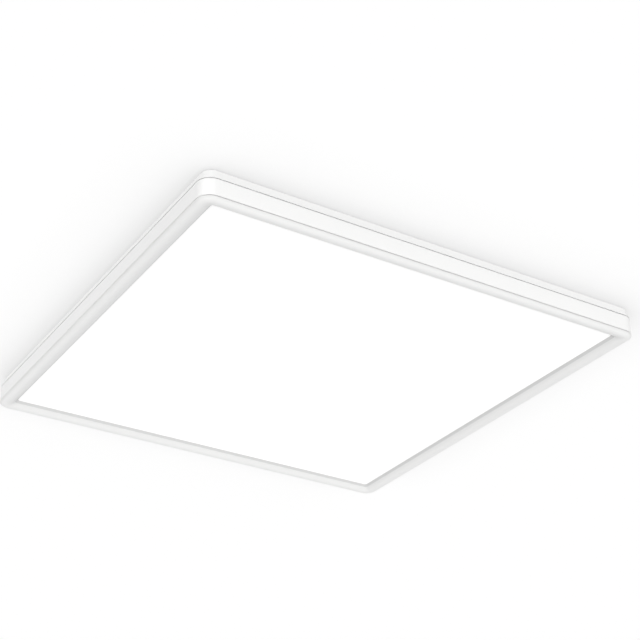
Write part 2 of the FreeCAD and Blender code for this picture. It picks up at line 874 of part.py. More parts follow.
def button_space(x, play):
    low = block_top - button_depth - (button_travel + play if play else 0)
    return block(x - button_width / 2 - play, x + button_width / 2 + play,
                 button_y - button_length / 2 - play, button_y + button_length / 2 + play,
                 low, block_top + button_proud)


def terminal_block():
    body = plate(block_half_x, block_half_y, block_corner, box_inside, block_top, 0, block_y)
    front = block_y - block_half_y
    wire_hole = (mains_wire_radius + hole_play) / math.cos(math.pi / flat_count)
    cuts = []
    for x in (-pole_x, pole_x):
        cuts.append(stud_y(entry_radius, x, front, front + entry_depth, entry_z))
        cuts.append(stud_y(wire_hole, x, block_rear - mains_seat, block_rear, entry_z))
        cuts.append(button_space(x, button_play))
    cuts.append(block(-block_groove_width / 2, block_groove_width / 2, front, block_rear,
                      block_top - block_groove_depth, block_top))
    return body.cut(cuts)


def live_button():
    return button_space(-pole_x, 0)


def neutral_button():
    return button_space(pole_x, 0)


# ---- cable entry --------------------------------------------------------------------------------
def cable_grommet():
    """Rubber sleeve through the well's wall and the box's wall, with a flange at each end."""
    flange_outer = well_half_y - grommet_flange
    flange_inner = box_front + box_wall + grommet_flange
    core = block(-grommet_half_x, grommet_half_x, flange_outer, flange_inner, grommet_under, grommet_top)
    wide = grommet_half_x + grommet_flange
    outer = block(-wide, wide, flange_outer, well_half_y, grommet_under, grommet_top)
    inner = block(-wide, wide, box_front + box_wall, flange_inner, grommet_under - flange_drop,
                  grommet_top)
    sleeve = core.fuse([outer, inner]).removeSplitter()
    return sleeve.cut(stud_y(grommet_bore, 0, flange_outer, flange_inner, grommet_z))


def cord_clamp():
    """Bar across the cable, with a shallow groove for it and a screw at each end."""
    top = clamp_under + clamp_thickness
    bar = plate(clamp_half_x, clamp_half_y, clamp_corner, clamp_under, top, 0, clamp_y)
    cuts = [stud_y(clamp_groove, 0, clamp_y - clamp_half_y, clamp_y + clamp_half_y,
                   clamp_under - grommet_bore)]
    for x in (-clamp_post_x, clamp_post_x):
        cuts.append(stud(small_screw_radius + hole_play, x, clamp_y, clamp_under, top))
    return bar.cut(cuts)


def cord_clamp_screws():
    places = [(-clamp_post_x, clamp_y), (clamp_post_x, clamp_y)]
    length = clamp_thickness + clamp_post_height - clamp_screw_spare
    return small_screws(places, clamp_under + clamp_thickness, length)


# ---- driver -------------------------------------------------------------------------------------
def driver_tray():
    tray = plate(driver_half_x, driver_half_y, driver_corner, back_top, driver_top - driver_wall,
                 driver_x, driver_y)
    inside = plate(driver_half_x - driver_wall, driver_half_y - driver_wall, driver_corner - driver_wall,
                   back_top + driver_wall, driver_top - driver_wall, driver_x, driver_y)
    return tray.cut(inside)


def driver_case():
    added = []
    cuts = []
    for x, y in driver_screw_places():
        outward = -1 if x < driver_x else 1
        root = driver_x + outward * (driver_half_x - driver_wall / 2)
        low, high = sorted((x + outward * driver_ear_radius, root))
        added.append(block(low, high, y - driver_ear_radius, y + driver_ear_radius, back_top,
                           back_top + driver_wall))
        cuts.append(stud(small_screw_radius + hole_play, x, y, back_top, back_top + driver_wall))
    for y in spread(2, driver_rest_pitch):
        added.append(block(driver_left + driver_wall / 2, driver_right - driver_wall / 2,
                           driver_y + y - driver_wall / 2, driver_y + y + driver_wall / 2,
                           back_top + driver_wall / 2, back_top + driver_wall + pcb_lift))
    for y in mains_route_y():
        cuts.append(stud_x(mains_wire_radius + fit_gap, driver_right - driver_wall - cut_past,
                           driver_right + cut_past, y, entry_z))
    half_width = led_lead_width / 2 + clip_play
    low = led_lead_z - led_lead_thickness / 2 - clip_play
    high = led_lead_z + led_lead_thickness / 2 + clip_play
    cuts.append(block(driver_left - cut_past, driver_left + driver_wall + cut_past,
                      driver_y - half_width, driver_y + half_width, low, high))
    rear = driver_y + driver_half_y
    cuts.append(block(led_exit_x - half_width, led_exit_x + half_width, rear - driver_wall - cut_past,
                      rear + cut_past, low, high))
    return driver_tray().fuse(added).cut(cuts).removeSplitter()


def driver_lid():
    cover = plate(driver_half_x, driver_half_y, driver_corner, driver_top - driver_wall, driver_top,
                  driver_x, driver_y)
    key = driver_wall + fit_gap
    low = driver_top - 2 * driver_wall
    reach_x = driver_half_x - key
    reach_y = driver_half_y - key
    left = driver_x - reach_x + driver_corner
    right = driver_x + reach_x - driver_corner
    added = []
    for y in (driver_y - reach_y, driver_y + reach_y - driver_wall):
        added.append(block(left, right, y, y + driver_wall, low, driver_top - driver_wall))
    openings = vents(driver_vents, driver_vent_pitch, driver_top - driver_wall, driver_top)
    return cover.fuse(added).cut(openings)


def driver_board():
    low = back_top + driver_wall + pcb_lift
    edge = driver_wall + pcb_play
    return block(driver_left + edge, driver_right - edge, driver_y - driver_half_y + edge,
                 driver_y + driver_half_y - edge, low, low + pcb_thickness)


def driver_components():
    """Main parts of the converter, standing on its board."""
    foot = back_top + driver_wall + pcb_lift + pcb_thickness

    made = []
    for x, y, half_x, half_y, height in (transformer, mains_terminal, line_filter, choke,
                                         output_terminal, control_chip):
        middle_x = driver_x + x
        middle_y = driver_y + y
        made.append(block(middle_x - half_x, middle_x + half_x, middle_y - half_y, middle_y + half_y,
                          foot, foot + height))
    for x, y, radius, length in (input_capacitor, output_capacitor):
        made.append(stud_x(radius, driver_x + x, driver_x + x + length, driver_y + y, foot + radius))
    return Part.makeCompound(made)


# ---- wires --------------------------------------------------------------------------------------
def mains_route_y():
    """Runs of the live and the neutral wire beyond the terminal block."""
    first = block_rear + mains_run_gap
    return first, first + mains_run_pitch


def mains_lead(pole, run_y):
    points = [vector(pole, block_rear - mains_seat, entry_z), vector(pole, run_y, entry_z),
              vector(driver_right - driver_wall - lead_entry, run_y, entry_z)]
    return wire_along(points, mains_bend, mains_wire_radius)


def live_lead():
    return mains_lead(-pole_x, mains_route_y()[0])


def neutral_lead():
    return mains_lead(pole_x, mains_route_y()[1])


def led_lead(level):
    """Flat twin lead: bends along the level run, then a tight turn down into the plug."""
    last = level[-1]
    heading = (last - level[-2]).normalize()
    turn_start = last - heading * drop_bend
    quarter = drop_bend * math.sin(math.pi / 4)
    turn_middle = turn_start + heading * quarter - vector(0, 0, drop_bend - quarter)
    turn_end = last - vector(0, 0, drop_bend)
    edges = route(level[:-1] + [turn_start], led_bend).Edges
    edges.append(Part.Arc(turn_start, turn_middle, turn_end).toShape())
    edges.append(Part.LineSegment(turn_end, vector(last.x, last.y, plug_top)).toShape())
    first = (level[1] - level[0]).normalize()
    across = vector(-first.y, first.x, 0) * (led_lead_width / 2)
    up = vector(0, 0, led_lead_thickness / 2)
    start = level[0]
    section = Part.makePolygon([start + across + up, start + across - up, start - across - up,
                                start - across + up, start + across + up])
    return Part.Wire(edges).makePipeShell([section], True, False)


def led_lead_left():
    z = led_lead_z
    return led_lead([vector(driver_left + driver_wall + lead_entry, driver_y, z),
                     vector(-led_run_x, driver_y, z), vector(-led_run_x, plug_y, z),
                     vector(-led_drop_x, plug_y, z)])


def led_lead_right():
    z = led_lead_z
    return led_lead([vector(led_exit_x, driver_y + driver_half_y - driver_wall - lead_entry, z),
                     vector(led_exit_x, led_route_y, z), vector(led_run_x, led_route_y, z),
                     vector(led_run_x, plug_y, z), vector(led_drop_x, plug_y, z)])


def lead_clip(x, y, along_y):
    """Closed saddle on the back plate that the flat lead passes through."""
    body = block(-clip_width / 2, clip_width / 2, -clip_length / 2, clip_length / 2,
                 back_top, back_top + clip_height)
    half_width = led_lead_width / 2 + clip_play
    half_height = led_lead_thickness / 2 + clip_play
    window = block(-half_width, half_width, -clip_length / 2, clip_length / 2,
                   led_lead_z - half_height, led_lead_z + half_height)
    clip = body.cut(window)
    if not along_y:
        clip = turned(clip, 90)
    clip.translate(vector(x, y, 0))
    return clip


def along_run(start, end, count):
    """Evenly spaced places on the straight part of a run between two bends."""
    low = start + led_bend
    step = (end - led_bend - low) / (count + 1)
    return [low + step * (index + 1) for index in range(count)]


def lead_clips():
    clips = []
    for y in along_run(driver_y, plug_y, side_clip_count):
        clips.append(lead_clip(-led_run_x, y, True))
    for x in along_run(led_exit_x, led_run_x, rear_clip_count):
        clips.append(lead_clip(x, led_route_y, False))
    for y in along_run(led_route_y, plug_y, side_clip_count):
        clips.append(lead_clip(led_run_x, y, True))
    return Part.makeCompound(clips)


# ---- bracket, clips and catches -----------------------------------------------------------------
def mounting_bracket():
    """Pressed steel strip with a leg at each end, two slots, a cable hole and two beads."""
    outline = [(-bracket_half_x, -leg_depth), (-bracket_half_x, 0), (bracket_half_x, 0),
               (bracket_half_x, -leg_depth)]
    strip = bent_strip(outline, bracket_bend, -bracket_thickness, bracket_width)
    cuts = [rod(cable_hole_radius, 0, 0, -bracket_thickness, 0)]
    for x in (-slot_spacing / 2, slot_spacing / 2):
        cuts.append(slot(x, 0, slot_length, slot_width, -bracket_thickness, 0))
    for sign in (-1, 1):
        low, high = sorted((sign * leg_width / 2, sign * bracket_width))
        for end in (-1, 1):
            left, right = sorted((end * (bracket_half_x - leg_relief), end * (bracket_half_x + cut_past)))
            cuts.append(block(left, right, low, high, -leg_depth - cut_past, cut_past))
    for left in (-bracket_half_x, bracket_half_x - bracket_thickness):
        cuts.append(stud_x(rivet_radius + hole_play, left - cut_past,
                           left + bracket_thickness + cut_past, 0, spring_rivet_z))
    strip = strip.cut(cuts)
    return strip.fuse(beads()).removeSplitter()


def beads():
    """Stiffening beads, raised on the strip's lower face."""
    made = []
    for y in (-bead_y, bead_y):
        bead = stud_x(bead_radius, -bead_length / 2, bead_length / 2, y, -bracket_thickness)
        made.append(bead.common(block(-bead_length, bead_length, y - bead_radius, y + bead_radius,
                                      -bracket_thickness - bead_radius, -bracket_thickness / 2)))
    return made


def spring_route():
    """Section of the right-hand clip: inside the leg, round its end, out to the nose, back in."""
    inner = bracket_half_x - bracket_thickness
    under = -leg_depth - spring_turn
    return [(inner, -tip_depth), (inner, under), (bracket_half_x + spring_turn, under),
            (nose_x, -nose_depth), (tip_x, -tip_depth)]


def retaining_springs():
    spring = bent_strip(spring_route(), spring_bend, -spring_thickness, spring_width)
    inner = bracket_half_x - bracket_thickness
    spring = spring.cut(stud_x(rivet_radius + hole_play, inner - cut_past, inner, 0, spring_rivet_z))
    return Part.makeCompound([spring, mirrored_x(spring)])


def rivets(x_low, x_high, level):
    """Rivet along X through sheets between two faces, headed at both ends, and its mirror image."""
    shank = stud_x(rivet_radius, x_low, x_high, 0, level)
    left = stud_x(rivet_head_radius, x_low - rivet_head_height, x_low, 0, level)
    right = stud_x(rivet_head_radius, x_high, x_high + rivet_head_height, 0, level)
    one = shank.fuse([left, right])
    return Part.makeCompound([one, mirrored_x(one)])


def spring_rivets():
    return rivets(bracket_half_x - bracket_thickness - spring_thickness, bracket_half_x, spring_rivet_z)


def lip_end():
    """Reach of the catch's lip: the spring's outer flank at the lip's lower face, plus the gap."""
    run = nose_x - tip_x
    rise = nose_depth - tip_depth
    centre = tip_x + run * (catch_depth - tip_depth) / rise
    return centre + (spring_thickness + catch_gap) * math.hypot(run, rise) / rise


def catch_plates():
    wall = well_half_x
    lip_top = -catch_depth + catch_thickness
    points = [(wall, lip_top - catch_thickness - catch_leg), (wall, lip_top), (lip_end(), lip_top)]
    catch = bent_strip(points, catch_bend, catch_thickness, catch_width)
    catch = catch.cut(stud_x(rivet_radius + hole_play, wall - catch_thickness - cut_past, wall, 0,
                             -catch_rivet_depth))
    return Part.makeCompound([catch, mirrored_x(catch)])


def catch_rivets():
    return rivets(well_half_x - catch_thickness, well_half_x + well_wall, -catch_rivet_depth)


# ---- all pieces ---------------------------------------------------------------------------------
pieces = {
    "mounting_bracket": mounting_bracket,
    "retaining_springs": retaining_springs,
    "spring_rivets": spring_rivets,
    "rear_housing": rear_housing,
    "side_frame": side_frame,
    "front_bezel": front_bezel,
    "diffuser_plate": diffuser_plate,
    "diffusing_film": diffusing_film,
    "light_guide_plate": light_guide_plate,
    "reflector_sheet": reflector_sheet,
    "foam_pad": foam_pad,
    "back_plate": back_plate,
    "heatsink_rail_left": heatsink_rail,
    "heatsink_rail_right": lambda: mirrored_x(heatsink_rail()),
    "led_board_left": led_board,
    "led_board_right": lambda: mirrored_x(led_board()),
    "led_chips_left": led_chips,
    "led_chips_right": lambda: mirrored_x(led_chips()),
    "led_plugs": led_plugs,
    "led_lead_left": led_lead_left,
    "led_lead_right": led_lead_right,
    "lead_clips": lead_clips,
    "driver_case": driver_case,
    "driver_lid": driver_lid,
    "driver_board": driver_board,
    "driver_components": driver_components,
    "driver_screws": driver_screws,
    "live_lead": live_lead,
    "neutral_lead": neutral_lead,
    "terminal_box": terminal_box,
    "terminal_lid": terminal_lid,
    "terminal_block": terminal_block,
    "live_button": live_button,
    "neutral_button": neutral_button,
    "terminal_box_screws": terminal_box_screws,
    "cord_clamp": cord_clamp,
    "cord_clamp_screws": cord_clamp_screws,
    "cable_grommet": cable_grommet,
    "catch_plates": catch_plates,
    "catch_rivets": catch_rivets,
    "housing_screws": housing_screws,
    "well_screws": well_screws,
    "rail_screws": rail_screws,
}

os.makedirs("parts", exist_ok=True)
for name, make in pieces.items():
    make().exportStep(os.path.join("parts", name + ".step"))
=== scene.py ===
"""Square flush mount ceiling light: its finishes, moulded front, fasteners and its stage."""
import json
import math

import bpy
import numpy as np
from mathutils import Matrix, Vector


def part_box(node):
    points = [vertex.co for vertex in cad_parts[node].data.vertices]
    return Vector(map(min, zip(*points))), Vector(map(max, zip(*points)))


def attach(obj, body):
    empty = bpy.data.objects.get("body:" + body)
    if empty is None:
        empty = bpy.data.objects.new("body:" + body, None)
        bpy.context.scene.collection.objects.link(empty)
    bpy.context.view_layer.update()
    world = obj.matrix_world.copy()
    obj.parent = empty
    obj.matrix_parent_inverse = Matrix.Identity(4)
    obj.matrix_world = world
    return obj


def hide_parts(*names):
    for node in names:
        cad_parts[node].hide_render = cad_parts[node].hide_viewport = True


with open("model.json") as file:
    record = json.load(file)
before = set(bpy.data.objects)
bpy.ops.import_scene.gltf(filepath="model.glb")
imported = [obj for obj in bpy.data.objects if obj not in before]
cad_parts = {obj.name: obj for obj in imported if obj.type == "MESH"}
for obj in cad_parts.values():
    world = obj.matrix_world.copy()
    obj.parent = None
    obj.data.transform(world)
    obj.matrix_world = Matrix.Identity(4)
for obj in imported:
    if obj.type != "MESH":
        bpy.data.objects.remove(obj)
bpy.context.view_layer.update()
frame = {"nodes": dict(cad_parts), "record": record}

bl_info = {
    "name": "Square ceiling light",
    "version": (1, 0, 0),
    "blender": (4, 5, 0),
    "location": "3D View > Sidebar > Ceiling light",
    "description": "Dresses the packed ceiling light and lights it for a studio view",
    "category": "Object",
}

MM = 0.001
FRAME_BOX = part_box("side_frame")
BEZEL_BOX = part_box("front_bezel")
WINDOW_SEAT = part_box("diffuser_plate")[0].z
HALF_SIDE = FRAME_BOX[1].x


# ---- sizes and colours that a user would change -------------------------------------------------
class FrontSettings(bpy.types.PropertyGroup):
    corner: bpy.props.FloatProperty(
        name="Corner radius", description="Outer corner of the lamp in plan",
        default=12 * MM, unit="LENGTH")
    edge_round: bpy.props.FloatProperty(
        name="Edge rounding", description="Small rounding of each layer's edge at a joint line",
        default=0.3 * MM, unit="LENGTH")
    crest_inset: bpy.props.FloatProperty(
        name="Crest inset", description="Outline to the bezel's lowest line",
        default=5.6 * MM, unit="LENGTH")
    border: bpy.props.FloatProperty(
        name="Border width", description="Outline to the lit window",
        default=15.2 * MM, unit="LENGTH")
    reveal_width: bpy.props.FloatProperty(
        name="Reveal width", description="Steep inner band beside the diffuser, in plan",
        default=2.4 * MM, unit="LENGTH")
    reveal_height: bpy.props.FloatProperty(
        name="Reveal height", description="Rise of the steep inner band",
        default=2.0 * MM, unit="LENGTH")
    window_corner: bpy.props.FloatProperty(
        name="Window corner", description="Corner radius of the lit window",
        default=2.4 * MM, unit="LENGTH")
    lip: bpy.props.FloatProperty(
        name="Lip width", description="Land that the diffuser rests on",
        default=6.2 * MM, unit="LENGTH")
    groove_height: bpy.props.FloatProperty(
        name="Joint line", description="Height of the shadow groove between two layers",
        default=0.7 * MM, unit="LENGTH")
    groove_depth: bpy.props.FloatProperty(
        name="Joint depth", description="Depth of the shadow groove",
        default=2.2 * MM, unit="LENGTH")
    wall: bpy.props.FloatProperty(
        name="Band wall", description="Thickness of the side band's wall",
        default=3.4 * MM, unit="LENGTH")


class FinishSettings(bpy.types.PropertyGroup):
    moulding: bpy.props.FloatVectorProperty(
        name="Moulding", description="Colour of the white mouldings", subtype="COLOR",
        default=(0.88, 0.88, 0.875), min=0, max=1)
    diffuser: bpy.props.FloatVectorProperty(
        name="Diffuser", description="Colour of the opal sheet", subtype="COLOR",
        default=(0.5, 0.5, 0.497), min=0, max=1)
    glow: bpy.props.FloatProperty(
        name="Glow", description="Light that the opal sheet gives off", default=0.55, min=0)
    grain: bpy.props.FloatProperty(
        name="Grain size", description="Grain of the moulded surface",
        default=0.45 * MM, unit="LENGTH")
    # Painted shade: how far the colour is darkened where the mesh is marked as recess
    painted_shade_depth: bpy.props.FloatProperty(
        name="Recess shade",
        description="How much darker a joint's bottom looks, and in part the reveal",
        default=0.8, min=0, max=1)


class ScrewSettings(bpy.types.PropertyGroup):
    head: bpy.props.FloatProperty(
        name="Head height", description="Share of the head's radius", default=0.6, min=0.1)
    shank: bpy.props.FloatProperty(
        name="Shank", description="Shank's radius as a share of the head's",
        default=0.53, min=0.1, max=1)
    dome: bpy.props.FloatProperty(
        name="Dome", description="Fall from the head's middle to its edge, over its height",
        default=0.35, min=0, max=1)
    arm: bpy.props.FloatProperty(
        name="Recess arm", description="Half width of the cross recess, over the head's radius",
        default=0.13, min=0.02)
    reach: bpy.props.FloatProperty(
        name="Recess reach", description="Length of its arms, over the head's radius",
        default=0.56, min=0.1, max=0.9)


class StageSettings(bpy.types.PropertyGroup):
    eye: bpy.props.FloatVectorProperty(
        name="Eye", description="Camera position", subtype="TRANSLATION",
        default=(-0.6115, -1.0282, -0.6365))
    aim: bpy.props.FloatVectorProperty(
        name="Aim", description="Camera heading", subtype="DIRECTION",
        default=(0.4570, 0.7455, 0.4853))
    lens: bpy.props.FloatProperty(
        name="Lens", description="Focal length on a 36 mm sensor, in millimetres", default=83.87)
    ambient: bpy.props.FloatProperty(
        name="Ambient", description="Pale light from straight below and above", default=0.83, min=0)
    horizon: bpy.props.FloatProperty(
        name="Horizon", description="The same light from the sides", default=0.42, min=0)
    key: bpy.props.FloatProperty(
        name="Key", description="Strength of the main soft light", default=1.45, min=0)
    fill: bpy.props.FloatProperty(
        name="Fill", description="Strength of the second soft light", default=0.66, min=0)
    rim: bpy.props.FloatProperty(
        name="Rim", description="Strength of the light from the ceiling's side, which draws the "
        "corner nearest to the eye", default=0.66, min=0)
    spread: bpy.props.FloatProperty(
        name="Softness", description="Angle that the key and fill lights cover",
        default=0.7, subtype="ANGLE")
    halo: bpy.props.FloatProperty(
        name="Halo", description="Depth of the soft shadow round the lamp",
        default=0.45, min=0, max=1)
    halo_reach: bpy.props.FloatProperty(
        name="Halo reach", description="Width of that shadow", default=75 * MM, unit="LENGTH")
    floor_drop: bpy.props.FloatProperty(
        name="Floor", description="Floor below the ceiling", default=1.7, unit="LENGTH")


# ---- meshes worked out with numpy ---------------------------------------------------------------
def rounded_square_rows(half, radius, arc_steps=12, side_steps=8):
    """Rows of points round a square: every row has its own half width and corner radius.

    A corner point is the corner's centre, (half - radius) along both axes, plus the radius times
    the cosine and sine of an angle that runs a quarter turn. The sides are straight shares between
    the end of one arc and the start of the next. half and radius have one value per row.
    """
    half = np.asarray(half, float)[:, None]
    radius = np.asarray(radius, float)[:, None]
    angle = np.linspace(0, np.pi / 2, arc_steps + 1)[None, :]
    share = np.linspace(0, 1, side_steps + 1)[1:-1]
    arcs = []
    for quarter, (side_x, side_y) in enumerate(((1, 1), (-1, 1), (-1, -1), (1, -1))):
        turn = angle + quarter * np.pi / 2
        x = side_x * (half - radius) + radius * np.cos(turn)
        y = side_y * (half - radius) + radius * np.sin(turn)
        arcs.append(np.stack([x, y], axis=-1))
    runs = []
    for arc, following in zip(arcs, arcs[1:] + arcs[:1]):
        start = arc[:, -1:, :]
        end = following[:, :1, :]
        runs += [arc, start + (end - start) * share[None, :, None]]
    return np.concatenate(runs, axis=1)


def grid_faces(rows, columns, wrap_rows, wrap_columns):
    """Quads of a grid, closed round its rows or columns, as an array of vertex numbers."""
    row = np.arange(rows if wrap_rows else rows - 1)[:, None]
    column = np.arange(columns if wrap_columns else columns - 1)[None, :]
    next_row = (row + 1) % rows
    next_column = (column + 1) % columns
    corners = (row * columns + column, row * columns + next_column,
               next_row * columns + next_column, next_row * columns + column)
    return np.stack(np.broadcast_arrays(*corners), axis=-1).reshape(-1, 4)


def mesh_object(name, points, faces, smooth=True):
    """Object in the scene, made of an array of points and lists of their numbers."""
    mesh = bpy.data.meshes.new(name)
    mesh.from_pydata(points.tolist(), [], faces)
    mesh.polygons.foreach_set("use_smooth", np.full(len(mesh.polygons), smooth))
    mesh.update()
    piece = bpy.data.objects.new(name, mesh)
    bpy.context.scene.collection.objects.link(piece)
    return piece


def arc_points(centre, radius, start, end, steps=4):
    """Points of an arc: centre plus radius times cosine and sine of an angle in degrees."""
    angle = np.radians(np.linspace(start, end, steps))
    x = centre[0] + radius * np.cos(angle)
    y = centre[1] + radius * np.sin(angle)
    return np.stack([x, y], axis=1)


def bulge(start, apex, end, steps=9):
    """Two arcs that meet level at the apex: each radius is (width^2 + depth^2) / (2 * depth)."""
    halves = []
    for edge, sign in ((start, -1), (end, 1)):
        width, depth = abs(edge[0] - apex[0]), edge[1] - apex[1]
        radius = (width ** 2 + depth ** 2) / (2 * depth)
        across = np.linspace(0, width, steps)
        rise = radius - np.sqrt(radius ** 2 - across ** 2)
        halves.append(np.stack([apex[0] + sign * across, apex[1] + rise], axis=1))
    return np.vstack([halves[0][::-1], halves[1][1:]])


def ring_piece(name, section, radius, recess):
    """Closed ring: the section (inset, level) is carried round the rounded square outline.

    radius and recess, the shade painted on a joint, slope or reveal, have one value per point of
    the section.
    """
    ring = rounded_square_rows(HALF_SIDE - section[:, 0], radius)
    level = np.broadcast_to(section[:, 1, None], ring.shape[:2])
    points = np.dstack([ring, level])
    faces = grid_faces(len(section), ring.shape[1], wrap_rows=True, wrap_columns=True)
    piece = mesh_object(name, points.reshape(-1, 3), faces[:, ::-1].tolist())
    # The recess attribute is painted shade: the white moulding's colour is darkened by it
    shade = piece.data.attributes.new("recess", "FLOAT", "POINT")
    shade.data.foreach_set("value", np.repeat(recess, ring.shape[1]))
    keep_edges_sharp(piece)
    return piece


def keep_edges_sharp(piece, degrees=28):
    """Smooth shading, except over edges that turn more than the angle."""
    bpy.ops.object.select_all(action="DESELECT")
    piece.select_set(True)
    bpy.context.view_layer.objects.active = piece
    bpy.ops.object.shade_smooth_by_angle(angle=math.radians(degrees))


def finish_piece(piece, material, node, body):
    """Gives a new piece its material, hides the node that it stands for and attaches it to the
    body.
    """
    use_material(piece, bpy.data.materials[material])
    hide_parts(node)
    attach(piece, body)


# ---- effects shared by several materials --------------------------------------------------------
VECTOR = "ShaderNodeVectorMath"


def new_group(name, inputs, outputs):
    """Group with inputs (name, kind, value) and outputs (name, kind), and its two end nodes."""
    group = bpy.data.node_groups.new(name, "ShaderNodeTree")
    for label, kind, value in inputs:
        socket = group.interface.new_socket(name=label, in_out="INPUT", socket_type=kind)
        socket.default_value = value
    for label, kind in outputs:
        group.interface.new_socket(name=label, in_out="OUTPUT", socket_type=kind)
    return group, group.nodes.new("NodeGroupInput"), group.nodes.new("NodeGroupOutput")


def add_node(tree, kind, values=(), **settings):
    """Node with its settings, and plain values on its sockets."""
    node = tree.nodes.new(kind)
    for key, value in settings.items():
        setattr(node, key, value)
    for socket, value in values:
        node.inputs[socket].default_value = value
    return node


def feed(tree, socket, value):
    """Links a socket into the given one, or sets a plain value on it."""
    if isinstance(value, bpy.types.NodeSocket):
        tree.links.new(value, socket)
    else:
        socket.default_value = value


def calc(tree, operation, *values, kind="ShaderNodeMath"):
    """One step of arithmetic on sockets or plain values, and its result as a socket."""
    node = add_node(tree, kind, operation=operation)
    for socket, value in zip(node.inputs, values):
        feed(tree, socket, value)
    return node.outputs[0]


def scaled(tree, vector, amount):
    """A colour or a place times a number."""
    node = add_node(tree, VECTOR, operation="SCALE")
    feed(tree, node.inputs[0], vector)
    feed(tree, node.inputs["Scale"], amount)
    return node.outputs[0]


def mixed(tree, share, first, second):
    """Two shaders mixed, where share is the second one's part."""
    node = add_node(tree, "ShaderNodeMixShader")
    for socket, value in zip(node.inputs, (share, first, second)):
        feed(tree, socket, value)
    return node.outputs[0]


def surface_group(name, extra):
    """Group with a colour, a roughness and the extra inputs, and every finish's three outputs."""
    inputs = [("Colour", "NodeSocketColor", (0.9, 0.9, 0.9, 1)),
              ("Roughness", "NodeSocketFloat", 0.4)]
    outputs = [("Colour", "NodeSocketColor"), ("Roughness", "NodeSocketFloat"),
               ("Height", "NodeSocketFloat")]
    inputs += [(label, "NodeSocketFloat", value) for label, value in extra]
    group, source, sink = new_group(name, inputs, outputs)
    place = add_node(group, "ShaderNodeTexCoord").outputs["Object"]
    return group, source.outputs, sink.inputs, place


def noise(tree, place, scale, detail=2.0):
    """Noise about zero at a scale that is a number or a socket."""
    node = add_node(tree, "ShaderNodeTexNoise", [("Detail", detail), ("Roughness", 0.6)])
    feed(tree, node.inputs["Vector"], place)
    feed(tree, node.inputs["Scale"], scale)
    return calc(tree, "SUBTRACT", node.outputs["Fac"], 0.5)


def put_out(group, sink, source, change, tone, polish, height):
    """Colour times (1 + tone * change), roughness plus polish * change, and the height."""
    brightness = calc(group, "ADD", calc(group, "MULTIPLY", change, tone), 1.0)
    rough = calc(group, "ADD", calc(group, "MULTIPLY", change, polish), source["Roughness"])
    group.links.new(scaled(group, source["Colour"], brightness), sink["Colour"])
    group.links.new(rough, sink["Roughness"])
    group.links.new(height, sink["Height"])


def moulded_group():
    """Spark-eroded grain: fine noise as height, slow noise as a small change of tone and polish."""
    group, source, sink, place = surface_group("moulded", [("Grain", 0.5 * MM), ("Tone", 0.015)])
    grain = noise(group, place, calc(group, "DIVIDE", 1.0, source["Grain"]), detail=3.0)
    slow = noise(group, place, scale=9.0)
    put_out(group, sink, source, slow, source["Tone"], polish=0.12, height=grain)
    return group


def spangle_group():
    """Zinc crystals: patches with a tone and a polish of their own, and a fine mottle.

    The place is bent by up to 1.5 mm of noise, so that the patches' borders aren't straight.
    """
    group, source, sink, place = surface_group("spangle", [("Patch", 6 * MM), ("Tone", 0.16)])
    wobble = add_node(group, "ShaderNodeTexNoise", [("Scale", 260.0), ("Detail", 2.0)])
    group.links.new(place, wobble.inputs["Vector"])
    shift = calc(group, "MULTIPLY", wobble.outputs["Color"], (1.5 * MM,) * 3, kind=VECTOR)
    cells = add_node(group, "ShaderNodeTexVoronoi")
    feed(group, cells.inputs["Vector"], calc(group, "ADD", place, shift, kind=VECTOR))
    feed(group, cells.inputs["Scale"], calc(group, "DIVIDE", 1.0, source["Patch"]))
    patch = add_node(group, "ShaderNodeSeparateXYZ")
    group.links.new(cells.outputs["Color"], patch.inputs[0])
    mottle = calc(group, "MULTIPLY", noise(group, place, scale=900.0), 0.5)
    change = calc(group, "ADD", calc(group, "SUBTRACT", patch.outputs[0], 0.5), mottle)
    height = noise(group, place, scale=1400.0)
    put_out(group, sink, source, change, source["Tone"], polish=0.22, height=height)
    return group


def drawn_group():
    """Rolled or drawn metal: noise stretched in x and y, as streaks of tone, polish and height."""
    group, source, sink, place = surface_group("drawn", [("Tone", 0.2)])
    stretched = calc(group, "MULTIPLY", place, (30.0, 30.0, 1500.0), kind=VECTOR)
    streak = noise(group, stretched, scale=1.0, detail=4.0)
    put_out(group, sink, source, streak, source["Tone"], polish=0.35, height=streak)
    return group


def dots_group():
    """Round dots in rows: the place is folded into squares of one pitch, and a dot is what lies
    nearer to a square's middle than the dot's radius."""
    group, source, sink, place = surface_group(
        "dots", [("Pitch", 3 * MM), ("Radius", 0.9 * MM), ("Tone", -0.2)])
    axes = add_node(group, "ShaderNodeSeparateXYZ")
    group.links.new(place, axes.inputs[0])
    half = calc(group, "MULTIPLY", source["Pitch"], 0.5)
    offsets = []
    for axis in "XY":
        folded = calc(group, "FLOORED_MODULO", axes.outputs[axis], source["Pitch"])
        away = calc(group, "SUBTRACT", folded, half)
        offsets.append(calc(group, "MULTIPLY", away, away))
    distance = calc(group, "SQRT", calc(group, "ADD", *offsets))
    dot = calc(group, "LESS_THAN", distance, source["Radius"])
    put_out(group, sink, source, dot, source["Tone"], polish=0.3, height=dot)
    return group


def cells_group():
    """Closed-cell foam: distance to the nearest of many scattered points, as height and tone."""
    group, source, sink, place = surface_group("cells", [("Cell", 0.9 * MM), ("Tone", 0.9)])
    cells = add_node(group, "ShaderNodeTexVoronoi")
    feed(group, cells.inputs["Vector"], place)
    feed(group, cells.inputs["Scale"], calc(group, "DIVIDE", 1.0, source["Cell"]))
    mean_distance = 0.4
    depth = calc(group, "SUBTRACT", cells.outputs["Distance"], mean_distance)
    put_out(group, sink, source, depth, source["Tone"], polish=0.1, height=depth)
    return group


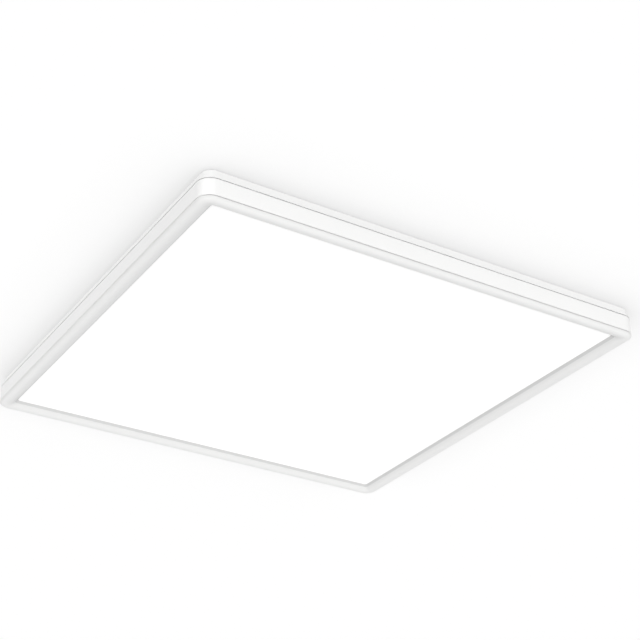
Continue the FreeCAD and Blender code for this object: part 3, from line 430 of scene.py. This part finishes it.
def tracks_group():
    """Copper tracks under a circuit board's lacquer: thin joints of a brick pattern."""
    group, source, sink, place = surface_group("tracks", [("Tone", 0.5)])
    bricks = add_node(group, "ShaderNodeTexBrick", [
        ("Scale", 60.0), ("Mortar Size", 0.03), ("Mortar", (1, 1, 1, 1)),
        ("Color1", (0, 0, 0, 1)), ("Color2", (0, 0, 0, 1))])
    group.links.new(place, bricks.inputs["Vector"])
    track = bricks.outputs["Fac"]
    put_out(group, sink, source, track, source["Tone"], polish=-0.1, height=track)
    return group


def painted_shade_group():
    """Painted shade: the colour times (1 - shade * recess), where the mesh is marked as recess."""
    group, source, sink = new_group(
        "recess shade", [("Colour", "NodeSocketColor", (0.9, 0.9, 0.9, 1)),
                         ("Shade", "NodeSocketFloat", 0.8)], [("Colour", "NodeSocketColor")])
    # recess holds painted shade, set per row where the rings are built
    mark = add_node(group, "ShaderNodeAttribute", attribute_name="recess").outputs["Fac"]
    shade = calc(group, "MULTIPLY", mark, source.outputs["Shade"])
    left = calc(group, "SUBTRACT", 1.0, shade)
    group.links.new(scaled(group, source.outputs["Colour"], left), sink.inputs["Colour"])
    return group


def new_material(name):
    """Material with nodes, its tree and its shader."""
    material = bpy.data.materials.new(name)
    material.use_nodes = True
    return material, material.node_tree, material.node_tree.nodes["Principled BSDF"]


def surface_material(name, group, colour, values, relief, rounding=0.0, constants=()):
    """A finish: the group's colour, roughness and height on one shader.

    Relief is the strength and depth of the bumps. Rounding softens the edges of plain CAD solids.
    """
    material, tree, shader = new_material(name)
    surface = add_node(tree, "ShaderNodeGroup", node_tree=group)
    surface.inputs["Colour"].default_value = (*colour, 1)
    for label, value in values.items():
        surface.inputs[label].default_value = value
    for label, value in constants:
        shader.inputs[label].default_value = value
    bumps = add_node(tree, "ShaderNodeBump", [("Strength", relief[0]), ("Distance", relief[1])])
    link = tree.links.new
    link(surface.outputs["Colour"], shader.inputs["Base Color"])
    link(surface.outputs["Roughness"], shader.inputs["Roughness"])
    link(surface.outputs["Height"], bumps.inputs["Height"])
    link(bumps.outputs["Normal"], shader.inputs["Normal"])
    if rounding:
        soft = add_node(tree, "ShaderNodeBevel", [("Radius", rounding)], samples=4)
        link(soft.outputs["Normal"], bumps.inputs["Normal"])
    return material


def apply_painted_shade(material, group, shade):
    """Puts the painted shade of the rows marked as recess between a material's colour and its
    shader.
    """
    tree = material.node_tree
    shader = tree.nodes["Principled BSDF"]
    colour = shader.inputs["Base Color"].links[0].from_socket
    darker = add_node(tree, "ShaderNodeGroup", node_tree=group)
    darker.inputs["Shade"].default_value = shade
    tree.links.new(colour, darker.inputs["Colour"])
    tree.links.new(darker.outputs["Colour"], shader.inputs["Base Color"])


def use_material(piece, material):
    """Gives a piece this material and no other."""
    piece.data.materials.clear()
    piece.data.materials.append(material)


# ---- operators ----------------------------------------------------------------------------------
METAL = (("Metallic", 1.0),)
CLEAR = (("Transmission Weight", 0.7), ("IOR", 1.49))
# slot: group, values, relief (strength, depth), edge rounding, constants of the shader
FINISHES = {
    "thin_film": ("moulded", {"Roughness": 0.55, "Grain": 0.2 * MM}, (0.1, 0.1 * MM), 0.0, ()),
    "clear_acrylic": ("dots", {"Roughness": 0.06}, (0.3, 0.1 * MM), 0.2 * MM, CLEAR),
    "white_film": ("moulded", {"Roughness": 0.7, "Grain": 0.3 * MM}, (0.1, 0.1 * MM), 0.0, ()),
    "foam": ("cells", {"Roughness": 0.9}, (0.6, 0.4 * MM), 0.3 * MM, ()),
    "galvanised_steel": ("spangle", {"Roughness": 0.38}, (0.12, 0.1 * MM), 0.4 * MM, METAL),
    "spring_steel": ("drawn", {"Roughness": 0.24}, (0.08, 0.05 * MM), 0.15 * MM, METAL),
    "rivet_aluminium": ("moulded", {"Roughness": 0.3, "Tone": 0.2, "Grain": 0.3 * MM},
                        (0.1, 0.05 * MM), 0.5 * MM, METAL),
    "plain_aluminium": ("drawn", {"Roughness": 0.35, "Tone": 0.14},
                        (0.15, 0.05 * MM), 0.3 * MM, METAL),
    "white_board": ("tracks", {"Roughness": 0.4, "Tone": -0.06}, (0.2, 0.05 * MM), 0.1 * MM, ()),
    "green_board": ("tracks", {"Roughness": 0.3}, (0.2, 0.05 * MM), 0.1 * MM, ()),
    "led_phosphor": ("dots", {"Roughness": 0.3, "Pitch": 0.8 * MM, "Radius": 0.3 * MM,
                              "Tone": 0.08}, (0.1, 0.05 * MM), 0.1 * MM, ()),
    "natural_nylon": ("moulded", {"Roughness": 0.5, "Grain": 0.3 * MM}, (0.1, 0.1 * MM), 0.3 * MM,
                      (("Subsurface Weight", 0.15), ("Subsurface Scale", MM))),
    "white_insulation": ("moulded", {"Roughness": 0.35}, (0.05, 0.1 * MM), 0.3 * MM, ()),
    "brown_insulation": ("moulded", {"Roughness": 0.35, "Tone": 0.1},
                         (0.05, 0.1 * MM), 0.5 * MM, ()),
    "blue_insulation": ("moulded", {"Roughness": 0.35, "Tone": 0.1},
                        (0.05, 0.1 * MM), 0.5 * MM, ()),
    "driver_plastic": ("moulded", {"Roughness": 0.55, "Grain": 0.7 * MM},
                       (0.2, 0.2 * MM), 0.4 * MM, ()),
    "black_plastic": ("moulded", {"Roughness": 0.35, "Tone": 0.2}, (0.1, 0.1 * MM), 0.3 * MM, ()),
    "zinc_screw": ("spangle", {"Roughness": 0.32, "Patch": 0.7 * MM, "Tone": 0.1},
                   (0.05, 0.03 * MM), 0.0, METAL),
    "grey_rubber": ("moulded", {"Roughness": 0.82, "Grain": 0.25 * MM, "Tone": 0.12},
                    (0.25, 0.1 * MM), 0.4 * MM, ()),
    "orange_plastic": ("moulded", {"Roughness": 0.35}, (0.08, 0.1 * MM), 0.4 * MM, ()),
}


class LAMP_OT_finishes(bpy.types.Operator):
    """Finishes: every moulded, metal, rubber and wire surface gets its material"""
    bl_idname = "lamp.finishes"
    bl_label = "Finishes"

    def execute(self, context):
        look = context.scene.lamp_finish
        groups = {"moulded": moulded_group(), "spangle": spangle_group(), "drawn": drawn_group(),
                  "dots": dots_group(), "cells": cells_group(), "tracks": tracks_group()}
        made = moulding_materials(look, groups["moulded"])
        record = frame["record"]
        colours = {row["slot"]: row["base_color"][:3] for row in record["materials"]}
        for slot, (group, values, relief, rounding, constants) in FINISHES.items():
            made[slot] = surface_material(slot.replace("_", " "), groups[group], colours[slot],
                                          values, relief, rounding, constants)
        node_slots = {row["node"]: row["material_slot"] for row in record["subparts"]}
        for node, piece in frame["nodes"].items():
            use_material(piece, made[node_slots[node]])
        return {"FINISHED"}


def moulding_materials(look, group):
    """White plastic for CAD nodes and, with painted shade, for the smooth new rings, and the opal
    sheet.
    """
    values = {"Roughness": 0.3, "Grain": look.grain}
    relief = (0.05, look.grain)
    shine = (("Specular IOR Level", 0.65),)
    ring = surface_material("white moulding", group, look.moulding, values, relief,
                            constants=shine)
    # The rings' plastic gets painted shade on the rows marked as recess
    apply_painted_shade(ring, painted_shade_group(), look.painted_shade_depth)
    plain = surface_material("white CAD moulding", group, look.moulding, values, relief,
                             rounding=0.4 * MM, constants=shine)
    lit = (("Emission Color", (1, 1, 1, 1)), ("Emission Strength", look.glow))
    opal = surface_material("opal diffuser", group, look.diffuser,
                            {"Roughness": 0.6, "Grain": 0.3 * MM}, (0.02, 0.3 * MM),
                            constants=lit)
    return {"white_moulding": plain, "opal_diffuser": opal}


class LAMP_OT_front_bezel(bpy.types.Operator):
    """Front bezel: one rounded section carried round the square outline"""
    bl_idname = "lamp.front_bezel"
    bl_label = "Front bezel"

    def execute(self, context):
        size = context.scene.lamp_front
        section, recess = bezel_section(size)
        reveal_inset = size.border - size.reveal_width
        reveal_corner = size.window_corner + size.reveal_width / 4
        radius = np.interp(section[:, 0], [0, size.crest_inset, reveal_inset, size.border],
                           [size.corner, size.corner - size.crest_inset, reveal_corner,
                            size.window_corner])
        piece = ring_piece("front_bezel_moulding", section, radius, recess)
        finish_piece(piece, "white moulding", "front_bezel", "lamp")
        return {"FINISHED"}


# Painted shade of the bezel's rows: at the joint line, halfway up the slope, at its end and on the
# reveal
EDGE_SHADE, SLOPE_SHADE, RIM_SHADE, REVEAL_SHADE = 0.12, 0.05, 0.2, 0.4
EDGE_SHADE_WIDTH = 2.2 * MM
REVEAL_ROUND = (0.3 * MM, 0.25 * MM)    # inset and rise of the point that rounds its foot
FRONT_START = 1.5                       # where the front's arcs start, over the edge's rounding


def bezel_section(size):
    """Closed section of the bezel as (inset, level) rows, from the lower joint line to the lip.

    Two arcs bulge down to the crest, the reveal is straight, and the upper side is hidden by the
    diffuser and the side band. The second array is the shade painted into each row's colour: a
    little at the joint line, none at the crest, more towards the reveal and most on it.
    """
    crest = BEZEL_BOX[0].z
    top = FRAME_BOX[0].z
    edge = size.edge_round
    reveal_inset = size.border - size.reveal_width
    reveal_low = WINDOW_SEAT - size.reveal_height
    upper_edge = arc_points((edge, top - edge), edge, 90, 180)
    front_start = (0, top - FRONT_START * edge)
    front = bulge(front_start, (size.crest_inset, crest), (reveal_inset, reveal_low))
    rest = np.array([[reveal_inset + REVEAL_ROUND[0], reveal_low + REVEAL_ROUND[1]],
                     [size.border, WINDOW_SEAT], [size.border - size.lip, WINDOW_SEAT],
                     [size.border - size.lip, top]])
    section = np.vstack([upper_edge, front, rest])
    halfway = (size.crest_inset + reveal_inset) / 2
    # Painted shade on each row, by its inset
    recess = np.interp(section[:, 0],
                       [0, EDGE_SHADE_WIDTH, size.crest_inset, halfway, reveal_inset],
                       [EDGE_SHADE, 0, 0, SLOPE_SHADE, RIM_SHADE])
    recess[-len(rest):] = (REVEAL_SHADE, REVEAL_SHADE, 0, 0)
    return section, recess


class LAMP_OT_side_band(bpy.types.Operator):
    """Side band: the tall middle layer between the two joint lines"""
    bl_idname = "lamp.side_band"
    bl_label = "Side band"

    def execute(self, context):
        size = context.scene.lamp_front
        section, recess = band_section(size)
        piece = ring_piece("side_band_moulding", section, size.corner - section[:, 0], recess)
        finish_piece(piece, "white moulding", "side_frame", "lamp")
        return {"FINISHED"}


def band_section(size):
    """Closed section of the band as (inset, level) rows: face, lower tongue, back, upper tongue.

    The tongues close the two joint lines at the bottom of their grooves. They and the back, which
    is hidden, are marked as recess: painted shade that makes them dark.
    """
    foot, head = FRAME_BOX[0].z, FRAME_BOX[1].z
    low, high = foot + size.groove_height, head - size.groove_height
    edge, depth, wall = size.edge_round, size.groove_depth, size.wall
    lower_edge = arc_points((edge, low + edge), edge, 180, 270)
    upper_edge = arc_points((edge, high - edge), edge, 90, 180)
    inner = np.array([[depth, low], [depth, foot], [wall, foot],
                      [wall, head], [depth, head], [depth, high]])
    section = np.vstack([lower_edge, inner, upper_edge])
    # Painted shade: full on the tongues and back, none on the face's rounded edges
    recess = np.repeat([0.0, 1.0, 0.0], [len(lower_edge), len(inner), len(upper_edge)])
    return section, recess


SCREW_NODES = ("housing_screws", "well_screws", "rail_screws", "terminal_box_screws",
               "cord_clamp_screws", "driver_screws")


class LAMP_OT_screws(bpy.types.Operator):
    """Screws: domed heads with a cross recess, where the CAD has plain ones"""
    bl_idname = "lamp.screws"
    bl_label = "Screws"

    def execute(self, context):
        size = context.scene.lamp_screw
        for node in SCREW_NODES:
            points, faces = [], []
            for low, high in loose_boxes(frame["nodes"][node]):
                screw_faces, screw_points = screw_mesh(size, low, high)
                faces += [[corner + len(points) for corner in face] for face in screw_faces]
                points += screw_points.tolist()
            piece = mesh_object(node + "_detailed", np.array(points), faces)
            keep_edges_sharp(piece, degrees=40)
            finish_piece(piece, "zinc screw", node, "lamp")
        return {"FINISHED"}


def loose_boxes(piece):
    """Low and high corner of each solid in a node.

    Vertices in one place count as one. Each then takes the lowest number along its edges, until
    nothing changes, so that all of a solid end with the same number.
    """
    mesh = piece.data
    flat = np.empty(len(mesh.vertices) * 3)
    mesh.vertices.foreach_get("co", flat)
    turn = np.array(piece.matrix_world)
    placed = flat.reshape(-1, 3) @ turn[:3, :3].T + turn[:3, 3]
    points, merged = np.unique(placed.round(7), axis=0, return_inverse=True)
    ends = np.empty(len(mesh.edges) * 2, int)
    mesh.edges.foreach_get("vertices", ends)
    ends = merged.reshape(-1)[ends].reshape(-1, 2)
    label = np.arange(len(points))
    while True:
        lowest = label[ends].min(axis=1)
        spread = label.copy()
        np.minimum.at(spread, ends[:, 0], lowest)
        np.minimum.at(spread, ends[:, 1], lowest)
        if (spread == label).all():
            break
        label = spread
    groups = [points[label == number] for number in np.unique(label)]
    return [(group.min(axis=0), group.max(axis=0)) for group in groups]


# Radii of a head's rings over its own, from the middle outward. The last two make the head's side.
HEAD_RINGS = np.concatenate([[0.02], np.linspace(0.06, 0.94, 18), [1.0, 1.0]])
RECESS_SLOPE = 0.08     # width of the slope at the recess's edge, over the head's radius
RECESS_DEPTH = 0.6      # over the head's height
TIP = 0.15              # over the shank's radius


def screw_mesh(size, low, high, turns=48):
    """Rings of points from the head's middle down to the shank's end, and their faces.

    The head's top falls with the square of the distance from its middle. The recess is a cross: it
    is cut where the smaller of a point's two offsets is under the arm and its distance under the
    reach, with a short slope at each edge.
    """
    centre = (low + high) / 2
    radius = (high[0] - low[0]) / 2
    head = size.head * radius
    shank = size.shank * radius
    across = HEAD_RINGS * radius
    fall = size.dome * head * (across / radius) ** 2
    level = high[2] - fall
    level[-1] = high[2] - head
    angle = np.linspace(0, 2 * np.pi, turns, endpoint=False)
    x = across[:, None] * np.cos(angle)
    y = across[:, None] * np.sin(angle)
    slope = RECESS_SLOPE * radius
    arm = np.clip((size.arm * radius - np.minimum(abs(x), abs(y))) / slope + 0.5, 0, 1)
    reach = np.clip((size.reach * radius - across[:, None]) / slope + 0.5, 0, 1)
    top = np.stack([x, y, level[:, None] - RECESS_DEPTH * head * arm * reach], axis=-1)
    stem = [(shank, high[2] - head), (shank, low[2] + shank), (TIP * shank, low[2])]
    rings = [np.stack([r * np.cos(angle), r * np.sin(angle), np.full(turns, z)], axis=-1)
             for r, z in stem]
    points = np.concatenate([top, np.array(rings)])
    points[..., :2] += centre[:2]
    faces = grid_faces(len(points), turns, wrap_rows=False, wrap_columns=True)[:, ::-1].tolist()
    last = (len(points) - 1) * turns
    caps = [list(range(turns)), list(range(last + turns - 1, last - 1, -1))]
    return faces + caps, points.reshape(-1, 3)


# Where each light comes from, seen from the lamp
KEY_SIDE = (0, -0.9, -0.34)
FILL_SIDE = (-0.9, 0, -0.42)
RIM_SIDE = (-0.758, -0.451, 0.47)
RIM_SPREAD = 0.6        # over the other lights' softness
SENSOR_WIDTH = 36.0     # millimetres
CEILING_HALF, CEILING_LEVEL = 4.0, 0.4 * MM
CEILING_PAINT = {"colour": 0.95, "glow": 1.075, "share": 0.7}
FLOOR_HALF = 6.0
FLOOR_PAINT = {"colour": 0.93, "glow": 1.1, "share": 0.8}


class LAMP_OT_stage(bpy.types.Operator):
    """Stage: ceiling, floor, soft lights and the camera"""
    bl_idname = "lamp.stage"
    bl_label = "Stage"

    def execute(self, context):
        stage = context.scene.lamp_stage
        make_ceiling(stage)
        make_floor(-stage.floor_drop)
        make_world(context.scene, stage)
        soft_light("key light", KEY_SIDE, stage.key, stage.spread)
        soft_light("fill light", FILL_SIDE, stage.fill, stage.spread)
        soft_light("rim light", RIM_SIDE, stage.rim, RIM_SPREAD * stage.spread)
        camera = bpy.data.cameras.new("camera")
        camera.lens = stage.lens
        camera.sensor_width = SENSOR_WIDTH
        eye = aimed_object("camera", camera, Vector(stage.aim))
        eye.location = stage.eye
        context.scene.camera = eye
        context.scene.view_settings.view_transform = "Standard"
        return {"FINISHED"}


def flat_sheet(name, half, level, facing_down):
    """Square of the stage, from -half to half along both axes."""
    corners = np.array([[-half, -half, level], [half, -half, level], [half, half, level],
                        [-half, half, level]])
    order = [[3, 2, 1, 0]] if facing_down else [[0, 1, 2, 3]]
    sheet = mesh_object(name, corners, order, smooth=False)
    return sheet


def part_lit_paint(name, colour, glow, share):
    """Matt paint whose light is partly its own: share of it comes from an even glow."""
    material, tree, shader = new_material(name)
    shader.inputs["Base Color"].default_value = (colour, colour, colour, 1)
    shader.inputs["Roughness"].default_value = 1.0
    shader.inputs["Specular IOR Level"].default_value = 0.0
    own = add_node(tree, "ShaderNodeEmission", [("Color", (1, 1, 1, 1)), ("Strength", glow)])
    paint = mixed(tree, share, shader.outputs[0], own.outputs[0])
    tree.links.new(paint, tree.nodes["Material Output"].inputs["Surface"])
    return material, own, paint


def make_ceiling(stage):
    """White ceiling with the lamp's soft shadow.

    It shows from below only, and lets all light through so that the back is lit too. Its glow is
    multiplied by (1 - halo * share of near cover).
    """
    ceiling = flat_sheet("ceiling", CEILING_HALF, CEILING_LEVEL, facing_down=True)
    glow = CEILING_PAINT["glow"]
    material, own, paint = part_lit_paint("ceiling paint", **CEILING_PAINT)
    tree = material.node_tree
    link = tree.links.new
    cover = add_node(tree, "ShaderNodeAmbientOcclusion", [("Distance", stage.halo_reach)],
                     samples=16)
    soft = add_node(tree, "ShaderNodeMapRange", [("To Min", glow * (1 - stage.halo)),
                                                 ("To Max", glow)])
    link(cover.outputs["AO"], soft.inputs["Value"])
    link(soft.outputs["Result"], own.inputs["Strength"])
    above = add_node(tree, "ShaderNodeNewGeometry").outputs["Backfacing"]
    clear = add_node(tree, "ShaderNodeBsdfTransparent").outputs[0]
    link(mixed(tree, above, paint, clear), tree.nodes["Material Output"].inputs["Surface"])
    use_material(ceiling, material)
    ceiling.visible_diffuse = False
    ceiling.visible_glossy = False
    ceiling.visible_transmission = False
    ceiling.visible_shadow = False


def make_floor(level):
    """Pale floor that neither lights nor shades the lamp."""
    floor = flat_sheet("floor", FLOOR_HALF, level, facing_down=False)
    use_material(floor, part_lit_paint("floor paint", **FLOOR_PAINT)[0])
    floor.visible_diffuse = False
    floor.visible_shadow = False


def make_world(scene, stage):
    """Pale light of strength horizon + (ambient - horizon) * height^2, where height is the
    direction's rise. The eye, mirrors and glass see plain white."""
    world = bpy.data.worlds.new("studio")
    world.use_nodes = True
    scene.world = world
    tree = world.node_tree
    link = tree.links.new
    back = tree.nodes["Background"]
    back.inputs["Color"].default_value = (1, 1, 1, 1)
    axes = add_node(tree, "ShaderNodeSeparateXYZ")
    link(add_node(tree, "ShaderNodeTexCoord").outputs["Generated"], axes.inputs[0])
    square = calc(tree, "MULTIPLY", axes.outputs["Z"], axes.outputs["Z"])
    rise = calc(tree, "MULTIPLY", square, stage.ambient - stage.horizon)
    link(calc(tree, "ADD", rise, stage.horizon), back.inputs["Strength"])
    plain = add_node(tree, "ShaderNodeBackground", [("Color", (1, 1, 1, 1)), ("Strength", 1.0)])
    path = add_node(tree, "ShaderNodeLightPath").outputs
    direct = calc(tree, "MAXIMUM", path["Is Camera Ray"], path["Is Glossy Ray"])
    direct = calc(tree, "MAXIMUM", direct, path["Is Transmission Ray"])
    light = mixed(tree, direct, back.outputs[0], plain.outputs[0])
    link(light, tree.nodes["World Output"].inputs["Surface"])


def aimed_object(name, data, heading):
    """Light or camera in the scene that points along the heading."""
    holder = bpy.data.objects.new(name, data)
    holder.rotation_mode = "QUATERNION"
    holder.rotation_quaternion = heading.to_track_quat("-Z", "Y")
    bpy.context.scene.collection.objects.link(holder)
    return holder


def soft_light(name, side, strength, spread):
    """Wide even light that shines from the given side towards the lamp."""
    light = bpy.data.lights.new(name, "SUN")
    light.angle = spread
    light.energy = strength
    aimed_object(name, light, -Vector(side))


class LAMP_PT_panel(bpy.types.Panel):
    """Lists the steps that dress the lamp"""
    bl_label = "Ceiling light"
    bl_idname = "LAMP_PT_panel"
    bl_space_type = "VIEW_3D"
    bl_region_type = "UI"
    bl_category = "Ceiling light"

    def draw(self, context):
        for step in STEPS:
            self.layout.operator(step.bl_idname)


STEPS = (LAMP_OT_finishes, LAMP_OT_front_bezel, LAMP_OT_side_band, LAMP_OT_screws, LAMP_OT_stage)
SETTINGS = {"lamp_front": FrontSettings, "lamp_screw": ScrewSettings,
            "lamp_finish": FinishSettings, "lamp_stage": StageSettings}


def register():
    for name, group in SETTINGS.items():
        bpy.utils.register_class(group)
        setattr(bpy.types.Scene, name, bpy.props.PointerProperty(type=group))
    for item in STEPS + (LAMP_PT_panel,):
        bpy.utils.register_class(item)


def unregister():
    for item in reversed(STEPS + (LAMP_PT_panel,)):
        bpy.utils.unregister_class(item)
    for name, group in SETTINGS.items():
        delattr(bpy.types.Scene, name)
        bpy.utils.unregister_class(group)


def main():
    register()
    for step in STEPS:
        space, call = step.bl_idname.split(".")
        getattr(getattr(bpy.ops, space), call)()


if __name__ == "__main__":
    main()
